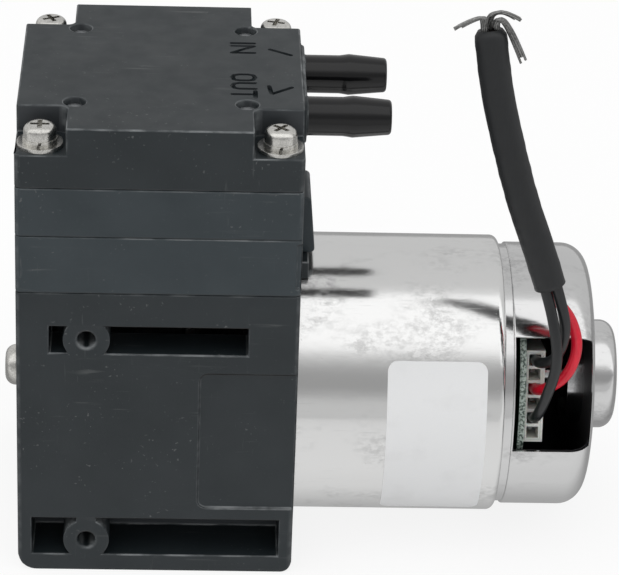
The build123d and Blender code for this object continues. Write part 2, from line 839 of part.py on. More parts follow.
def windings():
    """A coil round each tooth."""
    x0, x1 = stator_span()
    mid_x = (x0 + x1) / 2
    low_r = stator_bore_r + shoe_t + slot_paper
    half_w = tooth_w / 2 + slot_paper + coil_t
    high_r = math.sqrt((stator_r - stator_yoke - slot_paper) ** 2 - half_w ** 2)
    outer = RectangleRounded(stator_len + 2 * coil_overhang, 2 * half_w, 2.0)
    inner = RectangleRounded(stator_len + 2 * slot_paper, tooth_w + 2 * slot_paper, 0.3)
    coil = Pos(mid_x, 0, low_r) * extrude(outer - inner, high_r - low_r)
    return [place * coil for place in tooth_places()]


def stator_insulators():
    """End rings of the stator, the rear one with the posts that carry the circuit board."""
    x0, x1 = stator_span()
    outer_r = stator_r - 0.3
    inner_r = stator_r - stator_yoke
    front_x = x0 - insulator_t
    rear_x = x1 + insulator_t
    front = lying(outer_r, front_x, x0) - lying(inner_r, front_x - 1, x0 + 1)
    rear = lying(outer_r, x1, rear_x) - lying(inner_r, x1 - 1, rear_x + 1)
    post_ring = (cap_neck_r - cap_wall) - post_r - free_gap
    for i in range(3):
        turn = math.radians(120 * i)
        spot_y = post_ring * math.cos(turn)
        spot_z = axis_z - post_ring * math.sin(turn)
        rear += lying(post_r, x1, face_x + board_x, spot_y, spot_z)
    return [front, rear]


def circuit_board():
    start = face_x + board_x
    return lying(board_r, start, start + board_t) - lying(board_hole_r, start - 1, start + board_t + 1)


def board_parts():
    """Driver chip, two capacitors and three small parts on the back of the board."""
    start = face_x + board_x + board_t
    half = chip_w / 2
    chip = block(start, start + chip_t, chip_y - half, chip_y + half, axis_z - half, axis_z + half)
    parts = [chip]
    for side in (-1, 1):
        place_z = axis_z + side * capacitor_z
        parts.append(lying(capacitor_r, start, start + capacitor_h, capacitor_y, place_z))
    low_z = axis_z - board_r + small_part_edge
    for i in range(3):
        y = small_part_y + i * small_part_step
        parts.append(block(start, start + small_part_t, y, y + small_part_w, low_z, low_z + small_part_len))
    return parts


def seated(solid):
    """From the connector's frame (X, distance from the axis, along the row) to the motor's."""
    return Pos(0, 0, axis_z) * Rot(X=-connector_turn) * solid


def way_place(index):
    """Position of a way along the connector's row."""
    return (connector_ways - 1) / 2 * connector_pitch - index * connector_pitch


def pin_x():
    """Place of the pins across the connector."""
    return face_x + board_x + board_t + connector_t / 2


def way_box(width, near, far, along=0.0, length=None):
    """Block about the pins' plane, between two distances from the motor axis."""
    half = (width if length is None else length) / 2
    return block(pin_x() - width / 2, pin_x() + width / 2, -far, -near, along - half, along + half)


def connector_header():
    """Shroud soldered to the board, open to the window."""
    back = connector_face - connector_depth
    shell = way_box(connector_t, back, connector_face, 0, connector_len)
    inner_t = connector_t - 2 * connector_wall
    inner_len = connector_len - 2 * connector_wall
    return seated(shell - way_box(inner_t, back + connector_back, connector_face + 1, 0, inner_len))


def connector_plug():
    """Plug housing with an open pocket for each way."""
    margin = 2 * (connector_wall + press_gap)
    back = connector_face - connector_depth + connector_back + press_gap
    body = way_box(connector_t - margin, back, connector_face, 0, connector_len - margin)
    mouth = connector_face - pocket_depth
    for way in range(connector_ways):
        body -= way_box(pocket_w, mouth, connector_face + 1, way_place(way))
        body -= way_box(pin_w + 2 * pin_gap, back - 1, mouth + 1, way_place(way))
    return seated(body)


def header_pins():
    back = connector_face - connector_depth + connector_back
    return [seated(way_box(pin_w, back, back + pin_len, way_place(way))) for way in range(connector_ways)]


def crimp_contacts():
    """Square sleeves on the pins, one behind each wire."""
    contacts = []
    for way in wired_ways.values():
        sleeve = way_box(crimp_w, wire_seat - crimp_len, wire_seat, way_place(way))
        sleeve -= way_box(pin_w + 2 * press_gap, 0, wire_seat - crimp_end, way_place(way))
        contacts.append(seated(sleeve))
    return contacts


def motor_shaft():
    body = lying(shaft_r, shaft_tip_x, boss_end - cap_wall - 0.2)
    return chamfer(body.edges(), 0.3)


def rotor_core():
    mid_x = sum(stator_span()) / 2
    core_r = stator_bore_r - air_gap - magnet_t
    ends = (mid_x - magnet_len / 2, mid_x + magnet_len / 2)
    return lying(core_r, *ends) - lying(shaft_r + press_gap, ends[0] - 1, ends[1] + 1)


def rotor_magnets():
    """Arc magnets glued round the core."""
    mid_x = sum(stator_span()) / 2
    outer_r = stator_bore_r - air_gap
    inner_r = outer_r - magnet_t + press_gap
    x0, x1 = mid_x - magnet_len / 2, mid_x + magnet_len / 2
    arc = 360 / magnet_poles
    points = [(x0, inner_r), (x1, inner_r), (x1, outer_r), (x0, outer_r)]
    magnets = []
    for i in range(magnet_poles):
        magnets.append(sector(points, arc * i + magnet_split / 2, arc * (i + 1) - magnet_split / 2))
    return magnets


def label():
    """Blank label wrapped round the front of the can, its corners rounded."""
    x0 = face_x + label_from_x
    inner_r = can_r + press_gap
    low_z = inner_r * math.sin(math.radians(label_low_deg))
    high_z = inner_r * math.sin(math.radians(label_high_deg))
    sheet = lying(inner_r + label_t, x0, x0 + label_w) - lying(inner_r, x0 - 1, x0 + label_w + 1)
    face = RectangleRounded(label_w, high_z - low_z, label_corner)
    front = extrude(Plane.XZ * face, can_r + 1)
    return sheet & Pos(x0 + label_w / 2, 0, axis_z + (low_z + high_z) / 2) * front


# Lead --------------------------------------------------------------------------------------------


def bend_radii(points):
    """Largest tangent arcs that the runs on each side of every corner leave room for."""
    vectors = [Vector(*p) for p in points]
    runs = [b - a for a, b in zip(vectors, vectors[1:])]
    radii = []
    for before, after in zip(runs, runs[1:]):
        half_turn = math.radians(before.get_angle(after)) / 2
        radii.append(0.45 * min(before.length, after.length) / math.tan(half_turn))
    return radii


def tube(name, points, radius, bore=0.0):
    """Round tube along straight runs joined by tangent arcs."""
    radii = bend_radii(points)
    path = FilletPolyline(*points, radius=radii)
    start = Plane(origin=path @ 0, z_dir=path % 0)
    section = Circle(radius) - Circle(bore) if bore else Circle(radius)
    solid = sweep(start * section, path=path)
    area = math.pi * (radius ** 2 - bore ** 2)
    print(name, "length", round(path.length, 2), "radii", [round(r, 1) for r in radii],
          "volume share", round(solid.volume / (area * path.length), 4))
    return solid


def shifted(point, offset):
    return tuple(p + o for p, o in zip(point, offset))


def way_point(way, distance):
    """Point on the centre line of a way at a distance from the motor axis."""
    turn = math.radians(connector_turn)
    along = way_place(way)
    return (
        pin_x(),
        -distance * math.cos(turn) + along * math.sin(turn),
        axis_z + distance * math.sin(turn) + along * math.cos(turn),
    )


def wire_route(name):
    """Straight out of the connector, round to the sleeve and through it."""
    way = wired_ways[name]
    leaving = [way_point(way, wire_seat), way_point(way, wire_seat + wire_exits[name])]
    inside = [shifted(p, wire_offsets[name]) for p in [sleeve_entry] + sleeve_route[1:-1] + [sleeve_exit]]
    return leaving + wire_bends[name] + inside


def wire(name):
    return tube(name, wire_route(name), wire_r)


def conductor_ends():
    """Bare strands of the three wires beyond the sleeve."""
    ends = []
    for name, bends in conductor_bends.items():
        before, start = [Vector(*p) for p in wire_route(name)[-2:]]
        straight = start + (start - before).normalized() * strand_exit
        ends.append(tube(name + " strands", [tuple(start), tuple(straight)] + bends, conductor_r))
    return ends


def as_part(solids):
    """One named part from a solid or a group of separate solids."""
    return Compound(children=list(solids)) if isinstance(solids, (list, tuple)) else solids


def main():
    crank = ball_bearing(crank_bearing, 0, crank_z)
    front_x = face_x - pilot_h + pilot_lip + motor_bearing["width"] / 2
    rear_x = boss_end - cap_wall - rear_boss_round - motor_bearing["width"] / 2
    front = ball_bearing(motor_bearing, front_x, axis_z)
    rear = ball_bearing(motor_bearing, rear_x, axis_z)
    parts = {
        "crankcase": crankcase(),
        "diaphragm_housing": diaphragm_housing(),
        "valve_plate": valve_plate(),
        "valve_sheet": valve_sheet(),
        "inlet_flap": flap(barb_y),
        "outlet_flap": flap(-barb_y),
        "head_cover": head_cover(),
        "flat_washers": flat_washers(),
        "spring_washers": spring_washers(),
        "head_screws": head_screws(),
        "plug_screw": plug_screw(),
        "diaphragm": diaphragm(),
        "clamp_disc": clamp_disc(),
        "clamp_screw": clamp_screw(),
        "connecting_rod": connecting_rod(),
        "crank_bearing_inner": crank[0],
        "crank_bearing_outer": crank[1],
        "crank_bearing_balls": crank[2],
        "crank_bearing_cage": crank[3],
        "eccentric": eccentric(),
        "set_screw": set_screw(),
        "motor_screws": motor_screws(),
        "motor_can": motor_can(),
        "front_flange": front_flange(),
        "end_cap": end_cap(),
        "front_bearing_inner": front[0],
        "front_bearing_outer": front[1],
        "front_bearing_balls": front[2],
        "rear_bearing_inner": rear[0],
        "rear_bearing_outer": rear[1],
        "rear_bearing_balls": rear[2],
        "motor_shaft": motor_shaft(),
        "rotor_core": rotor_core(),
        "rotor_magnets": rotor_magnets(),
        "stator_core": stator_core(),
        "stator_insulators": stator_insulators(),
        "windings": windings(),
        "circuit_board": circuit_board(),
        "board_parts": board_parts(),
        "connector_header": connector_header(),
        "connector_plug": connector_plug(),
        "header_pins": header_pins(),
        "crimp_contacts": crimp_contacts(),
        "label": label(),
        "wire_sleeve": tube("wire_sleeve", sleeve_route, sleeve_r, sleeve_bore_r),
        "black_wire_a": wire("black_wire_a"),
        "black_wire_b": wire("black_wire_b"),
        "red_wire": wire("red_wire"),
        "conductor_ends": conductor_ends(),
    }
    for name, part in parts.items():
        export_step(as_part(part), "parts/" + name + ".step")


main()
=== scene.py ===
import bmesh
import bpy
import json
import math
import random
from mathutils import Matrix, Vector


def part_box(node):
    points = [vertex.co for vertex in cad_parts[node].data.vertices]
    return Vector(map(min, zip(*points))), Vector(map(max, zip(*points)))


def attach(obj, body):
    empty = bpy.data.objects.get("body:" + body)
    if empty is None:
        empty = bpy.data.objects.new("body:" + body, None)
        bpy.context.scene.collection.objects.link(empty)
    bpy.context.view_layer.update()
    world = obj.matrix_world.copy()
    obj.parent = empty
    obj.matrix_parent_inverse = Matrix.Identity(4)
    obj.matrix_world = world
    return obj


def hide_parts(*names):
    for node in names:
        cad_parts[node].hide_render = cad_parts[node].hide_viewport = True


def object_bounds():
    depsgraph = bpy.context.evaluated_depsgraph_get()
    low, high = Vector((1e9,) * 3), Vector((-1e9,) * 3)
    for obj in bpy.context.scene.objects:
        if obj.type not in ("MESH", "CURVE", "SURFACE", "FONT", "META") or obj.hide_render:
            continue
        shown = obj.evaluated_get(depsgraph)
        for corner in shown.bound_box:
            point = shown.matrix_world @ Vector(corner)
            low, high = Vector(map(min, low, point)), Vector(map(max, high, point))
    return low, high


# A small diaphragm vacuum pump with a brushless motor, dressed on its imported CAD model.
# Metres, +Z up, +X along the motor. Lengths written in millimetres are multiplied by MM before use.

MM = 0.001
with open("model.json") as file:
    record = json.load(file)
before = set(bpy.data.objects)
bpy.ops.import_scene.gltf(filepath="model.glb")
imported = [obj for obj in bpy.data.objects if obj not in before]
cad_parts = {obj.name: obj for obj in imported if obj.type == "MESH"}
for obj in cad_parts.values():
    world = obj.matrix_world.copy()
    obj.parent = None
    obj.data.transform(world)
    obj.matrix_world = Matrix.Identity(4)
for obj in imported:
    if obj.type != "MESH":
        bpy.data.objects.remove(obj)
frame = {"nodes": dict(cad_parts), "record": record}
cad_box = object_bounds()
can_low, can_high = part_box("motor_can")
board_low, board_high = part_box("circuit_board")
axis_z = (can_low[2] + can_high[2]) / 2
face_x = can_low[0]
front_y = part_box("crankcase")[0][1]
top_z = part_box("head_cover")[1][2]


def linked(name, data):
    """A new object in the scene."""
    made = bpy.data.objects.new(name, data)
    bpy.context.collection.objects.link(made)
    return made


# Camera: the photograph's place, lens and tilt ------------------------------------------------

CAMERA_PLACE = Vector((2.54, -368.86, 225.1)) * MM
CAMERA_AZIMUTH = math.radians(-2.613)
CAMERA_ELEVATION = math.radians(27.695)
CAMERA_ROLL = math.radians(2.158)
CAMERA_LENS = 187.63


def add_camera():
    level = math.cos(CAMERA_ELEVATION)
    back = Vector((math.sin(CAMERA_AZIMUTH) * level, -math.cos(CAMERA_AZIMUTH) * level,
                   math.sin(CAMERA_ELEVATION)))
    right = (-back).cross(Vector((0, 0, 1))).normalized()
    up = back.cross(right)
    turn = Matrix((
        right * math.cos(CAMERA_ROLL) + up * math.sin(CAMERA_ROLL),
        up * math.cos(CAMERA_ROLL) - right * math.sin(CAMERA_ROLL),
        back)).transposed()
    camera = linked("camera", bpy.data.cameras.new("camera"))
    camera.matrix_world = Matrix.Translation(CAMERA_PLACE) @ turn.to_4x4()
    camera.data.lens = CAMERA_LENS
    camera.data.clip_start = 0.01
    bpy.context.scene.camera = camera


add_camera()

# Mesh and curve helpers ------------------------------------------------------------------------


def new_piece(name, mesh, body="housing"):
    """A piece of the object from a mesh, riding on a body."""
    piece = linked(name, mesh)
    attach(piece, body)
    return piece


def mesh_of(name, points, faces, smooth=True):
    mesh = bpy.data.meshes.new(name)
    mesh.from_pydata([tuple(p) for p in points], [], faces)
    mesh.validate()
    if smooth:
        mesh.shade_smooth()
    return mesh


def nurbs(name, routes, radius=0.0):
    """One curve of smooth open splines, each through its own control points."""
    curve = bpy.data.curves.new(name, "CURVE")
    curve.dimensions = "3D"
    curve.resolution_u = 16
    curve.bevel_depth = radius
    curve.bevel_resolution = 6
    curve.use_fill_caps = True
    for route in routes:
        spline = curve.splines.new("NURBS")
        spline.points.add(len(route) - 1)
        for point, place in zip(spline.points, route):
            point.co = (*place, 1.0)
        spline.order_u = 3
        spline.use_endpoint_u = True
    return curve


def as_mesh(piece):
    """Mesh of a curve, or of a piece with its modifiers applied."""
    bpy.context.view_layer.update()
    return bpy.data.meshes.new_from_object(piece.evaluated_get(bpy.context.evaluated_depsgraph_get()))


def tubes(name, routes, radius):
    """Mesh of round tubes along smooth routes, or of their bare lines at radius 0."""
    scratch = linked("scratch", nurbs("scratch", routes, radius))
    mesh = as_mesh(scratch)
    mesh.name = name
    bpy.data.objects.remove(scratch)
    return mesh


def followed(route):
    """Points along the smooth line of a route."""
    return [v.co.copy() for v in tubes("line", [route], 0.0).vertices]


# Moulded blocks ----------------------------------------------------------------------------------

EDGE_WIDTH = 0.22 * MM
SHARP = math.radians(32)
FLAT = math.radians(0.4)
FLAT_AREA = 6 * MM * MM
SQUARE = 0.99999          # part of a unit normal along one axis
TOP_REACH = 0.02 * MM
WELD = 1e-6
AREA_WEIGHT = 80


def merged(node):
    """A CAD node's mesh as one connected surface, its flat faces whole."""
    work = bmesh.new()
    work.from_mesh(frame["nodes"][node].data)
    bmesh.ops.remove_doubles(work, verts=work.verts, dist=WELD)
    bmesh.ops.dissolve_limit(work, angle_limit=FLAT, verts=work.verts, edges=work.edges)
    return work


def round_edges(work, width):
    """Takes the sharpness off every edge, as moulding does."""
    edges = [e for e in work.edges if e.is_manifold and e.calc_face_angle(0.0) > SHARP]
    bmesh.ops.bevel(work, geom=edges, offset=width, offset_type="OFFSET", segments=2, profile=0.5,
                    affect="EDGES", clamp_overlap=False, loop_slide=True)


def shade(mesh):
    """Smooth shading that breaks at sharp edges. Large flat faces and the cover's top stay flat."""
    mesh.shade_smooth()
    mesh.set_sharp_from_angle(angle=SHARP)
    for face in mesh.polygons:
        square = max(abs(c) for c in face.normal) > SQUARE
        on_top = abs(face.center.z - top_z) < TOP_REACH
        if square and (on_top or face.area > FLAT_AREA):
            face.use_smooth = False


def finished_mesh(name, work):
    """The connected surface as a shaded mesh."""
    mesh = bpy.data.meshes.new(name)
    bmesh.ops.triangulate(work, faces=[f for f in work.faces if len(f.verts) > 4])
    work.to_mesh(mesh)
    work.free()
    shade(mesh)
    return mesh


def weigh_normals(piece):
    """Lets the large faces set the shading of the narrow ones beside them."""
    weighted = piece.modifiers.new("weighted", "WEIGHTED_NORMAL")
    weighted.keep_sharp = True
    weighted.weight = AREA_WEIGHT


def cut_away(piece, cutter):
    """Takes one closed mesh out of another for good."""
    knife = linked("knife", cutter)
    cut = piece.modifiers.new("cut", "BOOLEAN")
    cut.operation = "DIFFERENCE"
    cut.solver = "EXACT"
    cut.use_self = True
    cut.object = knife
    made = as_mesh(piece)
    piece.modifiers.clear()
    piece.data = made
    bpy.data.objects.remove(knife)
    shade(made)


def moulded_block(name, node):
    """A housing part with its edges rounded, in place of its CAD node."""
    work = merged(node)
    round_edges(work, EDGE_WIDTH)
    piece = new_piece(name, finished_mesh(name, work))
    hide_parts(node)
    return piece


# Flow marks on the cover: plain port words and strokes, sunk into the plastic.
# Each letter is a list of lines in its own box, u to the right and v up, from 0 to 1.
# The other numbers are millimetres.

LETTER_LOW_X = 8.7
LETTER_HEIGHT = 2.8
STROKE_WIDTH = 0.58
STROKE_DEPTH = 0.5
STROKE_STEP = 0.02        # between the depths of strokes that meet
STROKE_END_STEPS = 6
LETTERS = {
    "I": [[(0.5, 0), (0.5, 1)]],
    "N": [[(0, 0), (0, 1), (1, 0), (1, 1)]],
    "O": [[(0.5, 0), (0.12, 0.08), (0, 0.3), (0, 0.7), (0.12, 0.92), (0.5, 1), (0.88, 0.92), (1, 0.7),
           (1, 0.3), (0.88, 0.08), (0.5, 0)]],
    "U": [[(0, 1), (0, 0.3), (0.12, 0.08), (0.5, 0), (0.88, 0.08), (1, 0.3), (1, 1)]],
    "T": [[(0, 1), (1, 1)], [(0.5, 1), (0.5, 0)]],
}
# Letter, its start along Y and its width.
WORDS = [("I", 7.6, 0.4), ("N", 6.5, 2.1), ("O", -2.3, 1.8), ("U", -4.9, 1.7), ("T", -7.3, 1.9)]
MARKS = [[(13.5, 5.6), (16.1, 3.9)], [(13.2, -5.7), (13.45, -7.85)], [(13.6, -7.95), (16.0, -6.0)]]


def mark_lines():
    """Lines of all the marks as (x, y) in millimetres. Words read towards -Y, their tops towards +X."""
    lines = list(MARKS)
    for letter, start_y, width in WORDS:
        for line in LETTERS[letter]:
            lines.append([(LETTER_LOW_X + v * LETTER_HEIGHT, start_y - u * width) for u, v in line])
    return lines


def stroke_cutter():
    """A closed bar with rounded ends for each line segment, standing through the cover's top."""
    points, faces = [], []
    half = STROKE_WIDTH / 2
    for line in mark_lines():
        for i, (a, b) in enumerate(zip(line, line[1:])):
            deep = (STROKE_DEPTH + STROKE_STEP * (i % 2)) * MM
            heading = math.atan2(b[1] - a[1], b[0] - a[0])
            rim = []
            for centre, first in ((b, -math.pi / 2), (a, math.pi / 2)):
                for k in range(STROKE_END_STEPS + 1):
                    turn = heading + first + math.pi * k / STROKE_END_STEPS
                    rim.append((centre[0] + half * math.cos(turn), centre[1] + half * math.sin(turn)))
            start, count = len(points), len(rim)
            for z in (top_z - deep, top_z + deep):
                points += [(x * MM, y * MM, z) for x, y in rim]
            faces.append([start + k for k in reversed(range(count))])
            faces.append([start + count + k for k in range(count)])
            for k in range(count):
                n = (k + 1) % count
                faces.append([start + k, start + n, start + count + n, start + count + k])
    return mesh_of("strokes", points, faces, smooth=False)


HOLE_X = 10.5
HOLE_Y = 11.3
HOLE_RADIUS = 1.34
HOLE_SIDES = 28
# Radius and depth of each ring.
HOLE_FLOOR = [(HOLE_RADIUS, 1.2), (HOLE_RADIUS, 0.95), (1.05, 0.75), (0.6, 0.6), (0.2, 0.55)]


def hole_floors():
    """Domed floors of the cover's four blind holes, as (radius, depth) rings closed above and below."""
    points, faces = [], []
    sides = HOLE_SIDES
    for sx in (-1, 1):
        for sy in (-1, 1):
            start = len(points)
            for radius, depth in HOLE_FLOOR:
                for k in range(sides):
                    angle = math.tau * k / sides
                    points.append(((sx * HOLE_X + radius * math.cos(angle)) * MM,
                                   (sy * HOLE_Y + radius * math.sin(angle)) * MM, top_z - depth * MM))
            for ring in range(len(HOLE_FLOOR) - 1):
                a = start + ring * sides
                for k in range(sides):
                    n = (k + 1) % sides
                    faces.append((a + k, a + n, a + sides + n, a + sides + k))
            last = start + (len(HOLE_FLOOR) - 1) * sides
            faces.append([start + k for k in reversed(range(sides))])
            faces.append([last + k for k in range(sides)])
    return new_piece("cover_hole_floors", mesh_of("cover_hole_floors", points, faces))


BLOCKS = {"case_block": "crankcase", "diaphragm_block": "diaphragm_housing", "valve_block": "valve_plate",
          "cover_block": "head_cover"}


def add_blocks():
    """The four housing parts, the cover with its flow marks."""
    made = [moulded_block(name, node) for name, node in BLOCKS.items()]
    cut_away(made[-1], stroke_cutter())
    for piece in made:
        weigh_normals(piece)
    return made[:-1], made[-1]


blocks, cover = add_blocks()
floors = hole_floors()

# Lead: its route in millimetres, the same as in the CAD model ------------------------------------

CONNECTOR_TURN = math.radians(15.0)
CONNECTOR_PITCH = 1.9
CONNECTOR_WAYS = 6
PIN_X = 47.95
WIRE_SEAT = 11.3
WIRE_RADIUS = 0.7 * MM
WIRE_WAYS = {"black_wire_a": 4, "red_wire": 2, "black_wire_b": 0}
WIRE_EXITS = {"black_wire_a": 3.4, "black_wire_b": 3.2, "red_wire": 3.1}
WIRE_BENDS = {
    "black_wire_a": [(49.1, -17.3, 25.9), (49.9, -18.2, 30.6), (49.4, -17.8, 34.6)],
    "black_wire_b": [(50.0, -15.3, 29.4), (51.0, -16.3, 34.0)],
    "red_wire": [(51.4, -15.6, 26.9), (52.8, -15.3, 31.2), (51.8, -14.0, 34.9)],
}
WIRE_OFFSETS = {
    "black_wire_a": (-0.70, -0.45, -0.10),
    "black_wire_b": (0.70, -0.37, 0.28),
    "red_wire": (0.0, 0.824, -0.177),
}
SLEEVE_ENTRY = (49.18, -15.84, 38.45)
SLEEVE_EXIT = (39.68, -10.21, 71.61)
SLEEVE_ROUTE = [
    (48.5, -15.5, 40.3), (46.7, -15.2, 45.6), (44.5, -14.4, 51.2),
    (42.3, -12.9, 58.6), (40.4, -11.3, 66.0), (39.6, -10.1, 72.2),
]
SLEEVE_RADIUS = 2.0
SLEEVE_WALL = 0.4
SLEEVE_SIDES = 40
SLEEVE_FLATNESS = 0.965
SLEEVE_TIP_LENGTH = 1.3   # drawn in round the strands
SLEEVE_TIP_SHARE = 0.22
SLEEVE_RIPPLES = [(0.012, 1.7), (0.008, 4.1)]   # share of the radius, and radians in a millimetre
SLEEVE_TWIST = 0.2
STRAND_EXIT = 1.5
STRAND_BENDS = {
    "black_wire_a": [(38.65, -10.6, 74.1), (37.0, -10.6, 73.5), (35.4, -10.6, 72.5)],
    "black_wire_b": [(40.8, -10.8, 74.1), (42.2, -10.9, 72.3), (44.0, -10.9, 68.1)],
    "red_wire": [(39.8, -9.2, 73.9), (41.5, -9.1, 74.2), (43.3, -9.1, 73.0)],
}


def way_point(way, distance):
    """Point on the centre line of a connector way, at a distance from the motor axis."""
    along = (CONNECTOR_WAYS - 1) / 2 * CONNECTOR_PITCH - way * CONNECTOR_PITCH
    return (
        PIN_X,
        -distance * math.cos(CONNECTOR_TURN) + along * math.sin(CONNECTOR_TURN),
        axis_z / MM + distance * math.sin(CONNECTOR_TURN) + along * math.cos(CONNECTOR_TURN),
    )


def shifted(point, offset):
    return tuple(p + o for p, o in zip(point, offset))


def metres(route):
    return [Vector(point) * MM for point in route]


def wire_route(name):
    way = WIRE_WAYS[name]
    leaving = [way_point(way, WIRE_SEAT), way_point(way, WIRE_SEAT + WIRE_EXITS[name])]
    inside = [SLEEVE_ENTRY] + SLEEVE_ROUTE[1:-1] + [SLEEVE_EXIT]
    return metres(leaving + WIRE_BENDS[name] + [shifted(p, WIRE_OFFSETS[name]) for p in inside])


STRANDS = 10
STRAND_RADIUS = 0.15
STRAND_RING = 0.34
STRAND_FAN = 0.14
STRAND_ROOT = 0.5         # inside the wire
STRAND_TWIST = 0.5        # radians from one point to the next
STRAND_UNEVEN = 0.35      # part of the last stretch that a strand may lack


def strand_bundle(name, seed):
    """The bare strands of one wire: twisted where they leave it and fanned out at the end."""
    chance = random.Random(seed)
    before, start = wire_route(name)[-2:]
    away = (start - before).normalized()
    centre = [start - away * STRAND_ROOT * MM, start, start + away * STRAND_EXIT * MM]
    centre += metres(STRAND_BENDS[name])
    side = away.cross(Vector((0, 1, 0))).normalized()
    other = away.cross(side)
    routes = []
    for i in range(STRANDS):
        ring = STRAND_RING * MM * (0.0 if i == 0 else 1.0)
        turn = math.tau * i / (STRANDS - 1)
        drift = Vector([chance.uniform(-1, 1) for _ in range(3)]) * STRAND_FAN * MM
        route = []
        for step, place in enumerate(centre):
            angle = turn + STRAND_TWIST * step
            spread = drift * (step / (len(centre) - 1)) ** 2
            route.append(place + (side * math.cos(angle) + other * math.sin(angle)) * ring + spread)
        lack = (route[-1] - route[-2]) * chance.uniform(-STRAND_UNEVEN, 0.0)
        route[-1] += lack
        routes.append(route)
    return new_piece(name + "_strands", tubes(name + "_strands", routes, STRAND_RADIUS * MM))


def sleeve_tube():
    """Shrink sleeve: a slightly flattened tube with a wall, its top end drawn in round the strands."""
    line = followed(metres(SLEEVE_ROUTE))
    total = sum((b - a).length for a, b in zip(line, line[1:]))
    sides = SLEEVE_SIDES
    outer, inner = [], []
    side = Vector((0, 1, 0))
    done = 0.0
    for i, place in enumerate(line):
        ahead = line[min(i + 1, len(line) - 1)] - line[max(i - 1, 0)]
        ahead.normalize()
        done += (place - line[i - 1]).length if i else 0.0
        side = (side - ahead * side.dot(ahead)).normalized()
        other = ahead.cross(side)
        past = max(0.0, 1.0 - (total - done) / MM / SLEEVE_TIP_LENGTH)
        draw_in = 1.0 - math.sqrt(max(0.0, 1.0 - past ** 2))
        radius = SLEEVE_RADIUS * MM * (1.0 - SLEEVE_TIP_SHARE * draw_in)
        ripple = sum(size * math.sin(done / MM * pace) for size, pace in SLEEVE_RIPPLES)
        for ring, r in ((outer, radius), (inner, radius - SLEEVE_WALL * MM)):
            points = []
            for k in range(sides):
                angle = math.tau * k / sides
                wide = r * (1.0 + ripple * math.cos(2 * angle + done / MM * SLEEVE_TWIST))
                points.append(place + side * (math.cos(angle) * SLEEVE_FLATNESS * wide)
                              + other * (math.sin(angle) * wide))
            ring.append(points)
    rings = outer + inner[::-1]
    points = [p for ring in rings for p in ring]
    faces = []
    count = len(rings)
    for i in range(count):
        for k in range(sides):
            a, b = i * sides, ((i + 1) % count) * sides
            faces.append((a + k, a + (k + 1) % sides, b + (k + 1) % sides, b + k))
    piece = new_piece("lead_sleeve", mesh_of("lead_sleeve", points, faces))
    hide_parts("wire_sleeve")
    return piece, line


def add_lead():
    """Three wires from the connector through the sleeve to their bare strands."""
    pieces = {}
    bundles = {}
    for seed, name in enumerate(WIRE_WAYS):
        route = wire_route(name)
        wire = new_piece(name + "_lead", tubes(name + "_lead", [route], WIRE_RADIUS))
        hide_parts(name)
        bundles[name] = strand_bundle(name, seed + 5)
        followed(route)
        pieces[name] = wire
    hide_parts("conductor_ends")
    sleeve, line = sleeve_tube()
    return pieces, bundles, sleeve


wires, strands, sleeve = add_lead()

# Materials -----------------------------------------------------------------------------------


